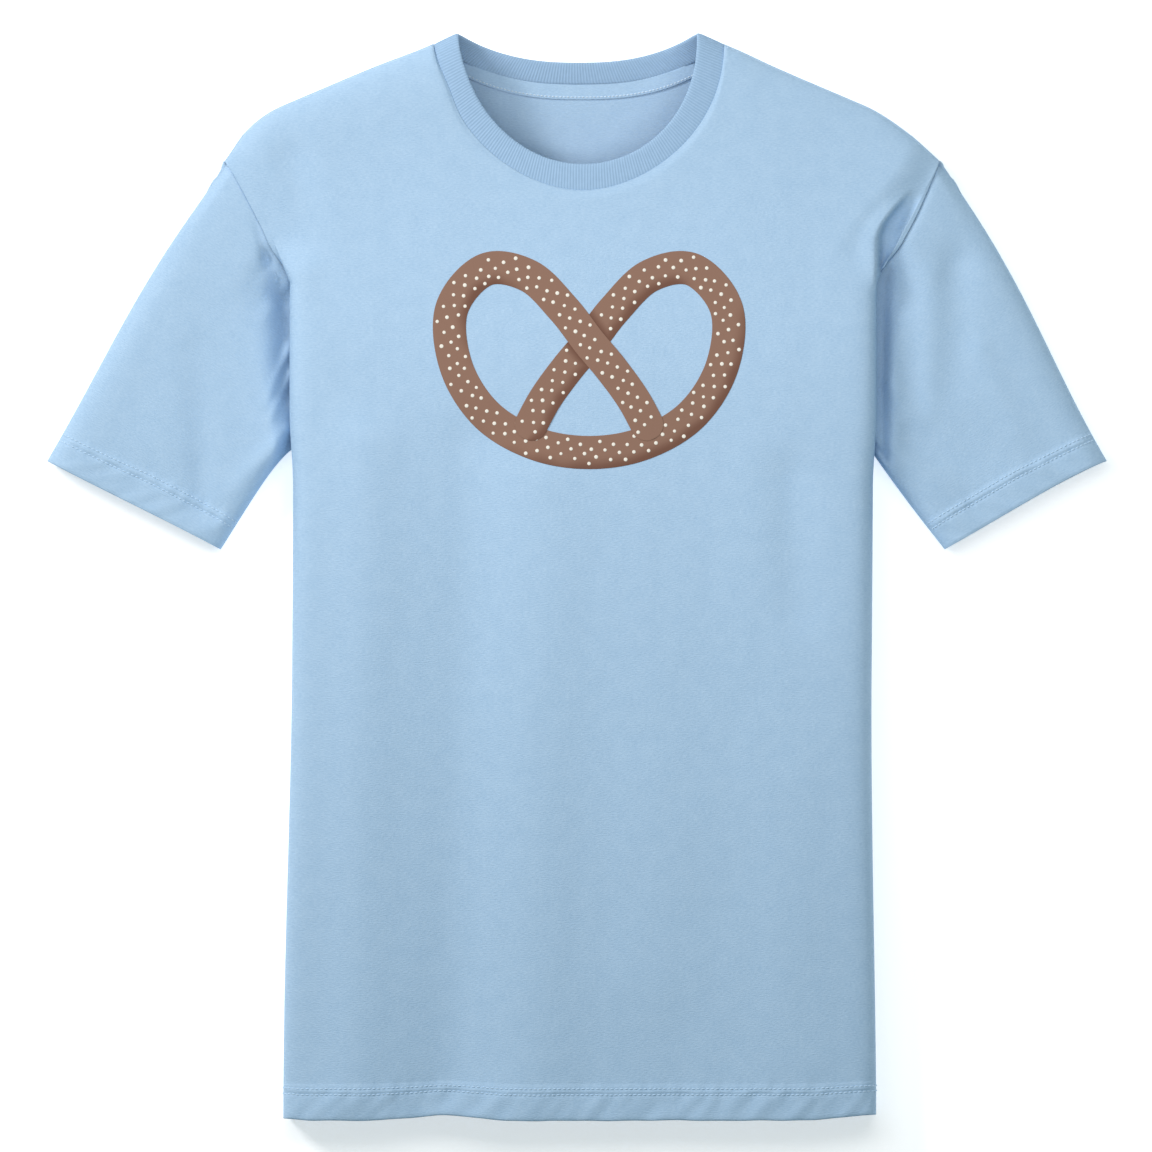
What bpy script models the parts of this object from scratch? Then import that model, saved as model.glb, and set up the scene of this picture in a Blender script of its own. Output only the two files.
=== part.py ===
"""A crew-neck T-shirt of cotton jersey, laid on its back with its front up and its cloth softly lofted.

Metres, +Z up, +Y towards the neck. The origin is on the floor, under the middle of the shirt.
Front, back, two sleeves, rib collar and neck tape are separate pieces of cloth that meet at their seams.
"""

import math

import bmesh
import bpy
from mathutils import Vector

# Driving sizes of the garment as it lies
HALF_LENGTH = 0.361
CHEST_HALF = 0.1925
CHEST_Y = -0.060
HEM_HALF = 0.197
CLOTH = 0.0015
SEAM_GAP = 0.0003

# How far the shirt lies to the right, at the hem and at the chest, and where that fades out
SHIFT_HEM = 0.0018
SHIFT_CHEST = 0.0036
SHIFT_RISE_Y = (-0.300, 0.100)
SHIFT_END_Y = (0.280, 0.350)
SHIFT_END_X = (0.250, 0.350)

# Shoulder line: straight from the neck, then drooping to the top of the sleeve
NECK_X = 0.0968
NECK_LINE_Y = 0.3540
SHOULDER_SLOPE = 0.4255
DROOP_START = 0.193
DROOP = 8.8
ROLL_TOP_X = 0.222
TIP_X = 0.238
TIP_RIM = 0.0005

# Necklines: the seam of the rib and its free edge, in front and behind
SEAM_DEPTH = 0.0974
NECK_ROUNDNESS = 1.08
EDGE_X = 0.0792
EDGE_Y = 0.3608
EDGE_DEPTH = 0.0857
BACK_SEAM_Y = 0.3264
BACK_EDGE_Y = 0.3416
BACK_SEAM_POWER = 2.6
BACK_EDGE_POWER = 3.0
COLLAR_THICK = 0.0024
COLLAR_SQUARENESS = 0.6
COLLAR_LIFT = 0.0022
COLLAR_FIT = 0.0008
COLLAR_FRONT_FALL = 0.25
COLLAR_BACK_FALL = 0.75

# Armhole, from the armpit up to the shoulder tip
ARMPIT_Y = 0.076
SPLIT_TOP_Y = 0.111
FOLD_TOP_Y = 0.195
ARMHOLE_BEND = 1.05
TUCK = 0.010
TUCK_START_Y = (0.056, 0.101)
TUCK_END_Y = (0.175, 0.218)
TUCK_ROUND = 0.004
BACK_TUCK = 0.4
RIM = 0.004
RIM_START_Y = (0.195, 0.225)
RIM_END_Y = 0.235

# Heights of the cloth above the floor
HEM_HEIGHT = 0.034
CHEST_HEIGHT = 0.052
CHEST_CROWN = 0.003
CHEST_TOP_Y = 0.120
NECK_DROP = 0.012
NECK_DROP_END_Y = 0.300
SHOULDER_EDGE = 0.022
SIDE_SEAM = 0.013
SIDE_RIDGE = 0.016
FLAP_RIDGE = 0.026
FLAP_EDGE = 0.018
YOKE_RIDGE = 0.030
YOKE_EDGE = 0.0275
FLAP_RISE_Y = (0.030, 0.110)
YOKE_RISE_Y = (0.180, 0.225)
BACK_SIDE_EDGE = 0.0124
BACK_UNDER_EDGE = 0.005
BACK_YOKE_EDGE = 0.019
BACK_YOKE_RISE_Y = (0.225, 0.275)
BACK_NECK_GAP = 0.0036
BACK_SHOULDER_GAP = 0.0020
BACK_GAP_END_X = 0.135

# Widths of the rounded edges, and how full their curve is
SIDE_ROLL = 0.034
SHOULDER_ROLL = 0.048
BACK_ROLL = 0.020
BACK_SHOULDER_ROLL = 0.036
ROLL_NARROW_Y = 0.190
ROLL_FULLNESS = 2.4
SHOULDER_START = 0.92

# Sleeve
SLEEVE_TOP = Vector((0.3525, 0.0768))
SLEEVE_UNDER = Vector((0.2408, 0.0180))
SLEEVE_HEIGHT = 0.030
SLEEVE_HEM_HEIGHT = 0.025
SLEEVE_EDGE = 0.012
SLEEVE_ROLL = 0.024
SLEEVE_BACK_ROLL = 0.0144
SLEEVE_FULLNESS = 2.0
OUTER_BULGE = Vector((0.0065, 0.00375))
UNDER_BULGE = Vector((0.0018, 0.0015))
ROUND_SPACING = 0.8
ROOT_BLEND = 0.42
EDGE_BLEND = 0.6

# How the sleeve's root stands off the body, as shares of the way from the shoulder tip to the armpit
ROOT_CLEAR = 0.0012
BACK_ROOT_CLEAR = 0.0046
UNDER_FLAP = 0.0030
FLAP_START = (0.25, 0.40)
FLAP_END = (0.90, 1.00)
MEET_TIP = 0.035
MEET_ARMPIT = 0.90
ARMPIT_DROP = 0.0015
DROP_START = 0.85

# Neck tape inside the back
TAPE_HALF = 0.078
TAPE_WIDTH = 0.0102
TAPE_THICK = 0.0010
TAPE_SEAM = 0.0012
TAPE_REST = 0.0004
TAPE_END_LIFT = 0.0008

# Faces along and across each piece; half a panel has columns to the neck, the shoulder, the roll and the rim
NECK_COLUMNS = 9
SHOULDER_COLUMNS = 5
ROLL_COLUMNS = 5
RIM_COLUMNS = 2
INNER_COLUMNS = NECK_COLUMNS + SHOULDER_COLUMNS
FRONT_ROWS = 26
BACK_ROWS = 18
SLEEVE_ROUND = 28
SLEEVE_ROWS = 13
COLLAR_SIDES = 8
TAPE_COLUMNS = 20
TAPE_ROWS = 2
FRONT_ROW_CROWDING = 1.35
BACK_ROW_CROWDING = 1.5
NECK_SPREAD = 0.62
TOP_GRIP = 4
WELD = 0.00002
TURN_STEP = 0.01

SKY_BLUE = (0.42, 0.61, 0.82, 1.0)
RIB_BLUE = (0.39, 0.58, 0.79, 1.0)
CLOTH_ROUGHNESS = 0.9


def smooth(value, low=0.0, high=1.0):
    """0 below low, 1 above high, and an S curve between them."""
    t = min(1.0, max(0.0, (value - low) / (high - low)))
    return t * t * (3.0 - 2.0 * t)


def mix(a, b, t):
    return a + (b - a) * t


def roll(share, power=ROLL_FULLNESS):
    """Height of a rounded edge, 0 at the edge where it stands upright and 1 where it has levelled out."""
    q = min(1.0, max(0.0, share))
    return (1.0 - (1.0 - q) ** power) ** (1.0 / power)


def shift(x, y):
    """The shirt lies a little to the right, most at the chest and not at all at the sleeve ends."""
    body = mix(SHIFT_HEM, SHIFT_CHEST, smooth(y, *SHIFT_RISE_Y)) * (1.0 - smooth(y, *SHIFT_END_Y))
    return body * (1.0 - smooth(abs(x), *SHIFT_END_X))


def shoulder_y(x):
    """The outline of the shoulder seen from above."""
    past = max(0.0, abs(x) - DROOP_START)
    return NECK_LINE_Y - SHOULDER_SLOPE * (abs(x) - NECK_X) - DROOP * past * past


TIP_Y = shoulder_y(TIP_X)
ROLL_TOP_Y = shoulder_y(ROLL_TOP_X)


def shoulder_share(x, y, width=SHOULDER_ROLL):
    return roll(SHOULDER_START * (shoulder_y(x) - y) / width)


def ridge_x(y):
    """Half the width at the widest line of the body: its side, the fold over the sleeve, then the armhole."""
    side = mix(HEM_HALF, CHEST_HALF, smooth(y, -HALF_LENGTH, CHEST_Y))
    if y <= FOLD_TOP_Y:
        return side
    share = min(1.0, (y - FOLD_TOP_Y) / (TIP_Y - FOLD_TOP_Y))
    return side + (TIP_X - TIP_RIM - side) * share ** ARMHOLE_BEND


def armpit_split(y):
    """0 where front and back share the side seam, 1 where the armhole lies open between them."""
    return smooth(y, ARMPIT_Y, SPLIT_TOP_Y)


def tuck(y):
    """How far the front's edge is tucked in under the fold that lies over the sleeve."""
    return TUCK * smooth(y, *TUCK_START_Y) * (1.0 - smooth(y, *TUCK_END_Y))


def armhole_rim(y):
    """How far the cloth runs on past its widest line, round the top of the armhole."""
    return mix(RIM * smooth(y, *RIM_START_Y), TIP_RIM, smooth(y, RIM_END_Y, TIP_Y))


def front_ridge_z(y):
    """Height of the front at its widest line."""
    low = mix(SIDE_RIDGE, FLAP_RIDGE, smooth(y, *FLAP_RISE_Y))
    return mix(low, YOKE_RIDGE, smooth(y, *YOKE_RISE_Y))


def front_seam(y):
    """The front's edge, at the side seam and round the armhole, as x and z."""
    x = ridge_x(y) - tuck(y) + armhole_rim(y)
    z = mix(mix(SIDE_SEAM, FLAP_EDGE, armpit_split(y)), YOKE_EDGE, smooth(y, *YOKE_RISE_Y))
    return x, mix(SHOULDER_EDGE, z, shoulder_share(x, y)) + SEAM_GAP


def back_edge_z(y):
    low = mix(BACK_SIDE_EDGE, BACK_UNDER_EDGE, armpit_split(y))
    return mix(low, BACK_YOKE_EDGE, smooth(y, *BACK_YOKE_RISE_Y))


def back_shoulder_z(x):
    """The back's shoulder edge, just under the front's; lowest at the neck, where both lie flat."""
    return SHOULDER_EDGE - mix(BACK_NECK_GAP, BACK_SHOULDER_GAP, smooth(abs(x), NECK_X, BACK_GAP_END_X))


def back_seam(y):
    """The back's edge, under the front's at the side seam and lower round the armhole."""
    x = ridge_x(y) - tuck(y) * mix(1.0, BACK_TUCK, armpit_split(y)) + armhole_rim(y)
    return x, mix(back_shoulder_z(x), back_edge_z(y), shoulder_share(x, y, BACK_SHOULDER_ROLL))


def back_neck_y(x):
    return mix(BACK_SEAM_Y, NECK_LINE_Y, min(1.0, abs(x) / NECK_X) ** BACK_SEAM_POWER)


def front_neckline(t):
    """From the lowest point of the front neckline (0) to the shoulder (1)."""
    angle = t * math.pi / 2.0
    across = math.sin(angle) ** NECK_ROUNDNESS
    down = max(0.0, math.cos(angle)) ** NECK_ROUNDNESS
    return Vector((NECK_X * across, NECK_LINE_Y - SEAM_DEPTH * down))


def back_neckline(t):
    x = NECK_X * math.sin(t * math.pi / 2.0)
    return Vector((x, back_neck_y(x)))


def front_height(y):
    rise = mix(HEM_HEIGHT, CHEST_HEIGHT, smooth(y, -HALF_LENGTH, CHEST_TOP_Y))
    return rise - NECK_DROP * smooth(y, CHEST_TOP_Y, NECK_DROP_END_Y)


def front_z(x, y, share, edge_height):
    """Height of the front; share is 1 inside its rolled sides."""
    crown = CHEST_CROWN * max(0.0, 1.0 - (x / CHEST_HALF) ** 2)
    z = mix(edge_height, front_height(y) + crown, share)
    return mix(SHOULDER_EDGE, z, shoulder_share(x, y)) + SEAM_GAP


def back_z(x, y, share, edge_height):
    """Height of the back, flat on the floor and raised at its sides and shoulders."""
    z = edge_height * (1.0 - share)
    return mix(back_shoulder_z(x), z, shoulder_share(x, y, BACK_SHOULDER_ROLL))


def roll_side(v, roll_width):
    """Half the width of the part inside the rolled edge."""
    y = mix(-HALF_LENGTH, TIP_Y, v)
    return ridge_x(y) - mix(roll_width, TIP_X - TIP_RIM - ROLL_TOP_X, smooth(y, ROLL_NARROW_Y, TIP_Y))


def inner_place(c, v, neckline, roll_width):
    """Inside the rolled edges: c runs from the middle to the side, v from the hem to the neck and shoulder."""
    neck_share = NECK_COLUMNS / INNER_COLUMNS
    if c <= neck_share:
        top = neckline(c / neck_share)
        spread = NECK_SPREAD * c / neck_share
    else:
        past = (c - neck_share) / (1.0 - neck_share)
        top_x = mix(NECK_X, ROLL_TOP_X, past)
        top = Vector((top_x, shoulder_y(top_x)))
        spread = mix(NECK_SPREAD, 1.0, past)
    foot_x = HEM_HALF - roll_width
    grip = v ** TOP_GRIP
    y = mix(-HALF_LENGTH, ROLL_TOP_Y, v) + (top.y - ROLL_TOP_Y) * grip
    line = foot_x * spread + (roll_side(v, roll_width) - foot_x) * c ** TOP_GRIP
    line_top = foot_x * spread + (roll_side(1.0, roll_width) - foot_x) * c ** TOP_GRIP
    return Vector((line + (top.x - line_top) * grip, y))


def body_place(u, v, neckline, seam, ridge_z, height, roll_width, rim_columns):
    """A point of the front or the back; u runs from one edge (-1) to the other (1), v from hem to shoulder."""
    side = -1.0 if u < 0.0 else 1.0
    column = abs(u) * (INNER_COLUMNS + ROLL_COLUMNS + rim_columns)
    edge_y = mix(-HALF_LENGTH, TIP_Y, v)
    seam_x, seam_z = seam(edge_y)
    ridge = ridge_x(edge_y) if rim_columns else seam_x
    if column <= INNER_COLUMNS:
        spot = inner_place(column / INNER_COLUMNS, v, neckline, roll_width)
        x, y = spot.x, spot.y
        z = height(x, y, 1.0, ridge_z(edge_y))
    elif column <= INNER_COLUMNS + ROLL_COLUMNS:
        t = (column - INNER_COLUMNS) / ROLL_COLUMNS
        swing = math.sin(t * math.pi / 2.0)
        x = mix(roll_side(v, roll_width), ridge, swing)
        y = mix(mix(-HALF_LENGTH, ROLL_TOP_Y, v), edge_y, swing)
        z = height(x, y, roll(1.0 - swing), ridge_z(edge_y))
    else:
        t = (column - INNER_COLUMNS - ROLL_COLUMNS) / rim_columns
        turn = t * math.pi / 2.0
        tucked = smooth(tuck(edge_y), 0.0, TUCK_ROUND)
        x = mix(ridge, seam_x, mix(t, 1.0 - math.cos(turn), tucked))
        y = edge_y
        ridge_top = height(ridge, edge_y, 0.0, ridge_z(edge_y))
        z = mix(ridge_top, seam_z, mix(t, math.sin(turn), tucked))
    return Vector((side * x + shift(x, y), y, z))


def front_place(u, v):
    w = 1.0 - (1.0 - v) ** FRONT_ROW_CROWDING
    return body_place(u, w, front_neckline, front_seam, front_ridge_z, front_z, SIDE_ROLL, RIM_COLUMNS)


def back_place(u, v):
    w = 1.0 - (1.0 - v) ** BACK_ROW_CROWDING
    return body_place(u, w, back_neckline, back_seam, back_edge_z, back_z, BACK_ROLL, 0)


def armhole(t, front):
    """The sleeve's edge, from the shoulder tip (0) to the armpit (1), just clear of the body."""
    y = mix(TIP_Y, ARMPIT_Y, t)
    front_x, front_rise = front_seam(y)
    back_x, back_rise = back_seam(y)
    meet = 1.0 - smooth(t, 0.0, MEET_TIP) + smooth(t, MEET_ARMPIT, 1.0)
    under_flap = UNDER_FLAP * smooth(t, *FLAP_START) * (1.0 - smooth(t, *FLAP_END))
    front_spot = Vector((front_x + ROOT_CLEAR, y, front_rise - under_flap))
    back_spot = Vector((back_x + BACK_ROOT_CLEAR, y, back_rise))
    middle = (front_rise + back_rise) * 0.5 - ARMPIT_DROP * smooth(t, DROP_START, 1.0)
    shared = Vector((max(front_x, back_x) + ROOT_CLEAR, y, middle))
    return (front_spot if front else back_spot).lerp(shared, min(1.0, meet))


def sleeve_outer(s):
    """The sleeve's upper edge seen from above, from the shoulder tip to the hem."""
    line = Vector(armhole(0.0, True).xy).lerp(SLEEVE_TOP, s)
    return line + OUTER_BULGE * math.sin(math.pi * s) * (1.0 - s)


def sleeve_under(s):
    line = Vector(armhole(1.0, True).xy).lerp(SLEEVE_UNDER, s)
    return line + UNDER_BULGE * math.sin(math.pi * s)


def sleeve_plan(v, t, front):
    """A point of the sleeve seen from above; t runs from its upper to its under edge, v from root to hem."""
    hem = SLEEVE_TOP.lerp(SLEEVE_UNDER, t)
    across = sleeve_outer(v).lerp(sleeve_under(v), t)
    along = Vector(armhole(t, front).xy).lerp(hem, v)
    corners = sleeve_outer(0.0).lerp(sleeve_under(0.0), t).lerp(hem, v)
    return across + along - corners


def sleeve_place(u, v, side):
    """A point of the sleeve's tube; u goes round it from the upper edge over the front, and v runs to the hem."""
    front = u <= 0.5
    turn = u * 2.0 if front else 2.0 - u * 2.0
    t = mix(turn, 0.5 - 0.5 * math.cos(turn * math.pi), ROUND_SPACING)
    spot = sleeve_plan(v, t, front)
    span = (sleeve_outer(v) - sleeve_under(v)).length
    near_edge = min(t, 1.0 - t) * span
    root_edge = mix(armhole(0.0, True).z, armhole(1.0, True).z, t)
    edge = mix(root_edge, SLEEVE_EDGE, smooth(v, 0.0, EDGE_BLEND))
    if front:
        top = mix(SLEEVE_HEIGHT, SLEEVE_HEM_HEIGHT, v)
        z = mix(edge, top, roll(near_edge / SLEEVE_ROLL, SLEEVE_FULLNESS))
    else:
        z = edge * (1.0 - roll(near_edge / SLEEVE_BACK_ROLL))
    z = mix(armhole(t, front).z, z, smooth(v, 0.0, ROOT_BLEND))
    return Vector((side * spot.x + shift(spot.x, spot.y), spot.y, z))


def collar_line(angle, free_edge):
    """A point of the collar's seam or free edge. Angle 0 is the right shoulder, a quarter turn the centre front."""
    across = math.cos(angle)
    share = abs(math.sin(angle))
    shoulder = SHOULDER_EDGE - COLLAR_THICK * 0.5
    if math.sin(angle) >= 0.0:
        round_across = math.copysign(abs(across) ** NECK_ROUNDNESS, across)
        seam_x = (NECK_X - COLLAR_FIT) * round_across
        seam_y = NECK_LINE_Y - (SEAM_DEPTH - COLLAR_FIT) * share ** NECK_ROUNDNESS
        x = EDGE_X * across if free_edge else seam_x
        y = EDGE_Y - EDGE_DEPTH * share if free_edge else seam_y
        inside = min(y, shoulder_y(x) - SEAM_GAP)
        lying = front_z(x, inside, 1.0, 0.0) - COLLAR_THICK * 0.5
        z = mix(shoulder, lying, smooth(share, 0.0, COLLAR_FRONT_FALL))
    else:
        reach = abs(across)
        edge_y = mix(BACK_EDGE_Y, EDGE_Y, reach ** BACK_EDGE_POWER)
        seam_y = mix(BACK_SEAM_Y + COLLAR_FIT, NECK_LINE_Y, reach ** BACK_SEAM_POWER)
        x = (EDGE_X if free_edge else NECK_X - COLLAR_FIT) * across
        y = edge_y if free_edge else seam_y
        rest = COLLAR_THICK * 0.5 + (COLLAR_LIFT if free_edge else SEAM_GAP)
        z = mix(shoulder, rest, smooth(share, 0.0, COLLAR_BACK_FALL))
    return Vector((x, y, z))


def collar_place(ring, around):
    """The band's flat section, swept round the neck: seam on one side, folded edge on the other."""
    angle = ring * 2.0 * math.pi
    seam = collar_line(angle, False)
    edge = collar_line(angle, True)
    ahead = collar_line(angle + TURN_STEP, True) + collar_line(angle + TURN_STEP, False)
    behind = collar_line(angle - TURN_STEP, True) + collar_line(angle - TURN_STEP, False)
    across = edge - seam
    normal = across.cross(ahead - behind).normalized()
    turn = around * 2.0 * math.pi
    flat = math.copysign(abs(math.cos(turn)) ** COLLAR_SQUARENESS, math.cos(turn))
    thick = math.copysign(abs(math.sin(turn)) ** COLLAR_SQUARENESS, math.sin(turn))
    spot = seam + across * (0.5 + 0.5 * flat) + normal * (thick * COLLAR_THICK * 0.5)
    return spot + Vector((shift(spot.x, spot.y), 0.0, 0.0))


def tape_place(u, v):
    x = (u * 2.0 - 1.0) * TAPE_HALF
    y = mix(back_neck_y(x) - TAPE_WIDTH, back_neck_y(x) - TAPE_SEAM, v)
    rest = back_z(x, y, 1.0, 0.0) + CLOTH + TAPE_REST
    return Vector((x + shift(x, y), y, rest + TAPE_END_LIFT * abs(x) / TAPE_HALF))


def cloth_material(name, colour):
    material = bpy.data.materials.new(name)
    material.use_nodes = True
    shader = material.node_tree.nodes["Principled BSDF"]
    shader.inputs["Base Color"].default_value = colour
    shader.inputs["Roughness"].default_value = CLOTH_ROUGHNESS
    shader.inputs["Metallic"].default_value = 0.0
    return material


def link(name, mesh, collection, material):
    mesh.name = name
    mesh.materials.append(material)
    mesh.shade_smooth()
    piece = bpy.data.objects.new(name, mesh)
    collection.objects.link(piece)
    return piece


def sheet(name, columns, rows, place, collection, material, thick=CLOTH, closed=False, inward=-1.0):
    """A grid laid out by place(u, v), closed into a tube if asked, and given the thickness of its cloth."""
    bm = bmesh.new()
    bmesh.ops.create_grid(bm, x_segments=columns, y_segments=rows, size=0.5)
    for vert in bm.verts:
        vert.co = place(vert.co.x + 0.5, vert.co.y + 0.5)
    if closed:
        bmesh.ops.remove_doubles(bm, verts=bm.verts, dist=WELD)
    mesh = bpy.data.meshes.new(name)
    bm.to_mesh(mesh)
    bm.free()
    piece = link(name, mesh, collection, material)
    shell = piece.modifiers.new("cloth", "SOLIDIFY")
    shell.thickness = thick
    shell.offset = inward
    return piece


def ring_band(name, collection, material):
    """The collar, a flat ring swept from a torus."""
    segments = NECK_COLUMNS * 4
    bpy.ops.mesh.primitive_torus_add(major_segments=segments, minor_segments=COLLAR_SIDES)
    band = bpy.context.active_object
    for index, vert in enumerate(band.data.vertices):
        ring, around = divmod(index, COLLAR_SIDES)
        vert.co = collar_place(ring / segments, around / COLLAR_SIDES)
    bm = bmesh.new()
    bm.from_mesh(band.data)
    bmesh.ops.recalc_face_normals(bm, faces=bm.faces)
    mesh = bpy.data.meshes.new(name)
    bm.to_mesh(mesh)
    bm.free()
    bpy.data.objects.remove(band)
    return link(name, mesh, collection, material)


def main():
    for leftover in list(bpy.data.objects):
        bpy.data.objects.remove(leftover)
    shirt = bpy.data.collections.new("tee_shirt")
    bpy.context.scene.collection.children.link(shirt)
    jersey = cloth_material("jersey", SKY_BLUE)
    rib = cloth_material("rib_knit", RIB_BLUE)

    back_columns = 2 * (INNER_COLUMNS + ROLL_COLUMNS)
    front_columns = back_columns + 2 * RIM_COLUMNS
    sheet("body_front", front_columns, FRONT_ROWS, lambda u, v: front_place(u * 2.0 - 1.0, v), shirt, jersey)
    sheet(
        "body_back", back_columns, BACK_ROWS, lambda u, v: back_place(u * 2.0 - 1.0, v), shirt, jersey,
        inward=1.0,
    )
    for name, side in (("sleeve_left", -1.0), ("sleeve_right", 1.0)):
        sheet(
            name, SLEEVE_ROUND, SLEEVE_ROWS, lambda u, v, k=side: sleeve_place(u, v, k), shirt, jersey,
            closed=True, inward=-side,
        )
    ring_band("collar", shirt, rib)
    sheet("neck_tape", TAPE_COLUMNS, TAPE_ROWS, tape_place, shirt, jersey, thick=TAPE_THICK, inward=1.0)


main()
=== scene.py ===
"""A light blue cotton T-shirt laid on its back, softly lofted, with a brown pretzel printed on its chest.

Metres, +Z up, +Y towards the neck. The origin is on the floor, under the middle of the shirt.
"""

import math

import bmesh
import bpy
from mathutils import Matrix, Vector, noise


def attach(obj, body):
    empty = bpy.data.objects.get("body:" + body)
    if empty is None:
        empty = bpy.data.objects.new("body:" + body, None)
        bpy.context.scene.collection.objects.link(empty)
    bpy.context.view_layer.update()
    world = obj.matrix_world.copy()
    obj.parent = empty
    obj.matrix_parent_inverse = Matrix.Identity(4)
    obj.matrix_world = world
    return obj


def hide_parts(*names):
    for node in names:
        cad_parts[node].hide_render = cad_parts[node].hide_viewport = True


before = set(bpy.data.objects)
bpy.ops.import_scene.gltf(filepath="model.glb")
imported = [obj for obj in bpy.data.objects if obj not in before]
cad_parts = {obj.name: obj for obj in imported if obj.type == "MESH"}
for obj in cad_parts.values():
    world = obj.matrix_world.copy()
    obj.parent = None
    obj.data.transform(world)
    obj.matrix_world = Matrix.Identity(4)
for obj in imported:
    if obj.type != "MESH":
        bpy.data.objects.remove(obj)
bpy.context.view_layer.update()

# Driving sizes of the garment as it lies
HALF_LENGTH = 0.361
CHEST_HALF = 0.1925
HEM_HALF = 0.197
JERSEY_THICK = 0.0009
SEAM_DIP = 0.0012
SEAM_LAP = 0.0010

# How far the shirt lies to the right, at the hem, the chest, the neck and the shoulders, and where that changes
SHIFT_HEM = 0.0018
SHIFT_CHEST = 0.0040
SHIFT_SHOULDER = -0.0022
SHIFT_RISE_Y = (-0.300, 0.100)
SHIFT_TURN_Y = (0.265, 0.310)
SHIFT_END_Y = (0.330, 0.360)
SHIFT_END_X = (0.250, 0.350)
SHIFT_NECK_Y = (0.280, 0.375)
SHIFT_NECK_X = (0.098, 0.132)

# The left end of the collar's seam leans inwards, most at this place
LEAN = 0.0044
LEAN_X = -0.098
LEAN_Y = 0.322
LEAN_REACH_X = 0.017
LEAN_REACH_Y = 0.024

# The left armhole is drawn in, most at this place
DRAWN_IN = 0.0042
DRAWN_IN_X = -0.214
DRAWN_IN_Y = 0.240
DRAWN_IN_REACH = 0.030

# Shoulder line: straight from the neck, then drooping to the top of the sleeve
NECK_X = 0.0968
NECK_LINE_Y = 0.3540
SHOULDER_SLOPE = 0.4255
DROOP_START = 0.193
DROOP = 8.8
ROLL_TOP_X = 0.222
TIP_X = 0.238
TIP_RIM = 0.0005

# Necklines: the seam of the rib and its free edge, in front and behind
SEAM_DEPTH = 0.0980
NECK_ROUNDNESS = 1.08
EDGE_X = 0.0792
EDGE_Y = 0.3608
EDGE_DEPTH = 0.0874
BACK_SEAM_Y = 0.3276
BACK_EDGE_Y = 0.3422
BACK_SEAM_POWER = 2.6
BACK_EDGE_POWER = 2.45
RIB_THICK = 0.0022
RIB_COUNT = 260
RIB_HEIGHT = 0.00020
# How far the ends of the band's front half are drawn down at the shoulders
COLLAR_TUCK = 0.0022

# Armhole, from the armpit up to the shoulder tip
ARMPIT_Y = 0.086
FOLD_TOP_Y = 0.195
ARMHOLE_BEND = 1.05
# The body's side hangs over the sleeve as a flap, tucked in beneath, that runs out over this stretch
FLAP_WIDER = 0.0023
TUCK = 0.010
FLAP_END_Y = (0.18, 0.225)

# Heights of the cloth above the floor
HEM_HEIGHT = 0.034
CHEST_HEIGHT = 0.052
NECK_DROP = 0.012
CROWN = 0.003
SHOULDER_EDGE = 0.022
SHOULDER_GAP = 0.0012
SIDE_SEAM = 0.013
ARMHOLE_TOP_Z = 0.0333

# How far in from its edges the cloth levels out
SIDE_ROLL = 0.034
SIDE_FULLNESS = 5.0
SHOULDER_ROLL = 0.048
BACK_ROLL = 0.020
BACK_SHOULDER_ROLL = 0.036

# Sleeve
SLEEVE_TOP = Vector((0.3525, 0.0768))
SLEEVE_UNDER = Vector((0.2408, 0.0180))
SLEEVE_HEIGHT = 0.030
SLEEVE_HEM_HEIGHT = 0.025
SLEEVE_EDGE = 0.012
SLEEVE_ROLL = 0.024
SLEEVE_FULLNESS = 2.8
SLEEVE_BULGE = 0.0068
RIGHT_HEM_BOW = Vector((-0.0009, 0.0017))
LEFT_UNDER_BOW = Vector((0.0038, 0.0032))

# Neck tape inside the back
TAPE_HALF = 0.078
TAPE_WIDTH = 0.0102
TAPE_THICK = 0.0007
TAPE_ROW = 0.17

# Hems, turned up inside and sewn with two rows of thread
HEM_DEPTH = 0.0224
HEM_ROWS = (0.0172, 0.0212)
SLEEVE_HEM_DEPTH = 0.0210
SLEEVE_HEM_ROWS = (0.0162, 0.0206)
THREAD = 0.00042
STITCH = 0.0027
STITCH_PITCH = 0.0032
TAPE_STITCH = 0.0020
TAPE_PITCH = 0.0025

# The doubled cloth of a hem: how much it stands out, is rounded at its edge, is drawn in by its thread, swells
# between the rows, puckers beside them, and how far it creases and waves below them
HEM_DOUBLED = 0.0007
HEM_ROUNDED = 0.0006
ROW_GROOVE = 0.00038
ROW_SWELL = 0.00035
ROW_PUCKER = 0.00085
HEM_CREASE = 0.0010
HEM_WAVE = 0.0015

# How far the body's lower edge is drawn up at one place and at its right and left corners, and how uneven it is
HEM_DIP = 0.0034
HEM_DIP_X = -0.089
HEM_DIP_REACH = 0.026
HEM_CORNER_RIGHT = 0.0040
HEM_CORNER_LEFT = 0.0012
HEM_UNEVEN = 0.0009

# Columns of half a panel to the neck point, the shoulder, the roll and the rim
NECK_COLUMNS = 50
SHOULDER_COLUMNS = 42
ROLL_COLUMNS = 32
RIM_COLUMNS = 6
INNER_COLUMNS = NECK_COLUMNS + SHOULDER_COLUMNS
NECK_SPREAD = 0.62

# Unevenness of cloth smoothed out by hand, over about 100 mm and over about 25 mm
LIMP_BROAD = 0.00090
LIMP_SMALL = 0.00016

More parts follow.
